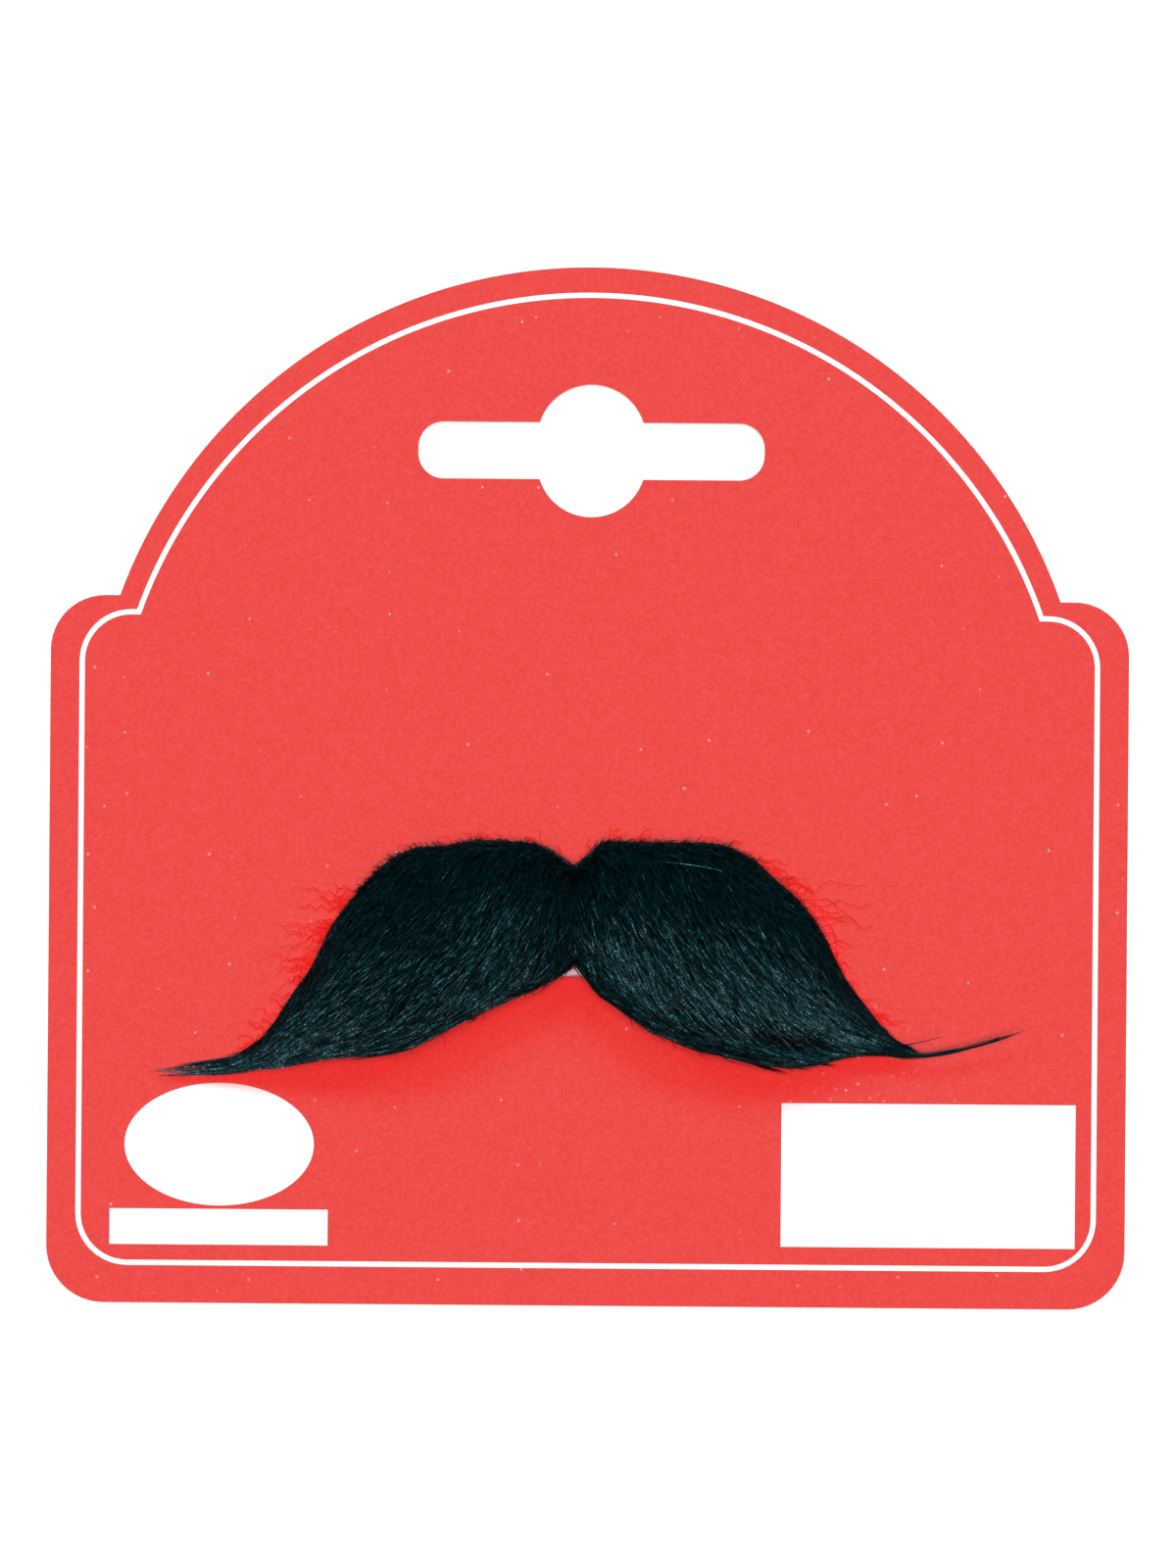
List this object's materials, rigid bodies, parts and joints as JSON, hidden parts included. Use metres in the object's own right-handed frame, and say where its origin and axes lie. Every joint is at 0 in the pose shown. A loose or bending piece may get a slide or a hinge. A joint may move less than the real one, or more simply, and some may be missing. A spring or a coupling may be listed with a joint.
{
  "type": "fake moustache on display card",
  "caption": "Stick-on fake moustache of swept black hair with a curled tip, taped to a domed red display card with a hanging slot.",
  "frame": {"origin": "middle of the card's back face, at the centre of the whole part's outline", "axes": "+X to the right across the card, +Y up the card towards its hanging slot, +Z out of the printed face"},
  "size_m": [0.1, 0.0962, 0.0064],
  "materials": {
    "printed_card": "satin printed board, white core",
    "tape": "milky double-sided tape",
    "hair": "glossy synthetic hair"
  },
  "bodies": {
    "root": {"display_card": "printed_card", "adhesive_tape": "tape", "left_wing": "hair", "right_wing": "hair"}
  },
  "joints": []
}
